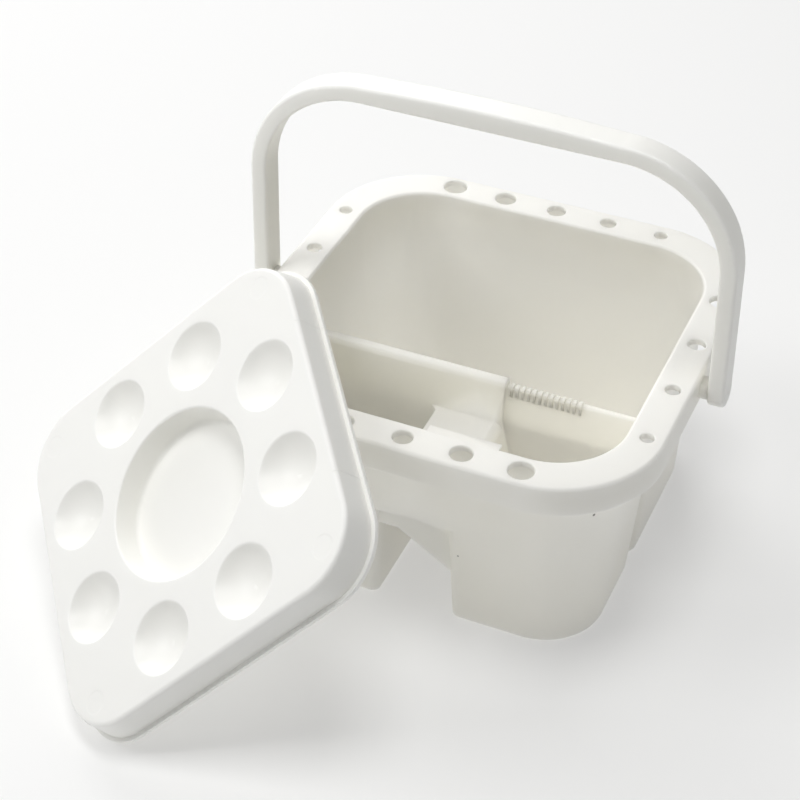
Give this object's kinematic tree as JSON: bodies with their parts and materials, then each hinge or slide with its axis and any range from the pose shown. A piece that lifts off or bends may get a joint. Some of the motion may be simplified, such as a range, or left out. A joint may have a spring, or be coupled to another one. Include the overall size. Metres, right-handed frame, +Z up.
{
  "type": "brush washer with lid",
  "caption": "Square brush washer with three water wells, a rim with holes that hold brushes, a swinging carrying handle, and a paint palette lid leaning against it.",
  "frame": {"origin": "on the ground under the middle of the tub, level with the undersides of the wells", "axes": "+Z up, +X to the right, -Y to the front, where the channel between the two front wells opens"},
  "size_m": [0.2414, 0.2649, 0.1808],
  "materials": {
    "tub_plastic": "satin",
    "handle_plastic": "satin",
    "lid_plastic": "satin"
  },
  "bodies": {
    "tub": {"well_back": "tub_plastic", "well_front_left": "tub_plastic", "well_front_right": "tub_plastic", "comb": "tub_plastic", "rim_front": "tub_plastic", "rim_back": "tub_plastic", "rim_left": "tub_plastic", "rim_right": "tub_plastic", "rim_corner_front_left": "tub_plastic", "rim_corner_front_right": "tub_plastic", "rim_corner_back_left": "tub_plastic", "rim_corner_back_right": "tub_plastic", "pivot_stud_left": "tub_plastic", "pivot_stud_right": "tub_plastic"},
    "handle": {"handle": "handle_plastic"},
    "lid": {"lid": "lid_plastic"}
  },
  "joints": [
    {"name": "handle_swing", "type": "hinge", "parent": "tub", "child": "handle", "pos_m": [0, 0, 0.084], "axis": [1, 0, 0], "range_deg": [-123, 55]},
    {"name": "lid_tip", "type": "hinge", "parent": "tub", "child": "lid", "pos_m": [-0.07845, -0.16887, 0], "axis": [0.7826, -0.6225, 0], "range_deg": [0, 43.4]}
  ]
}
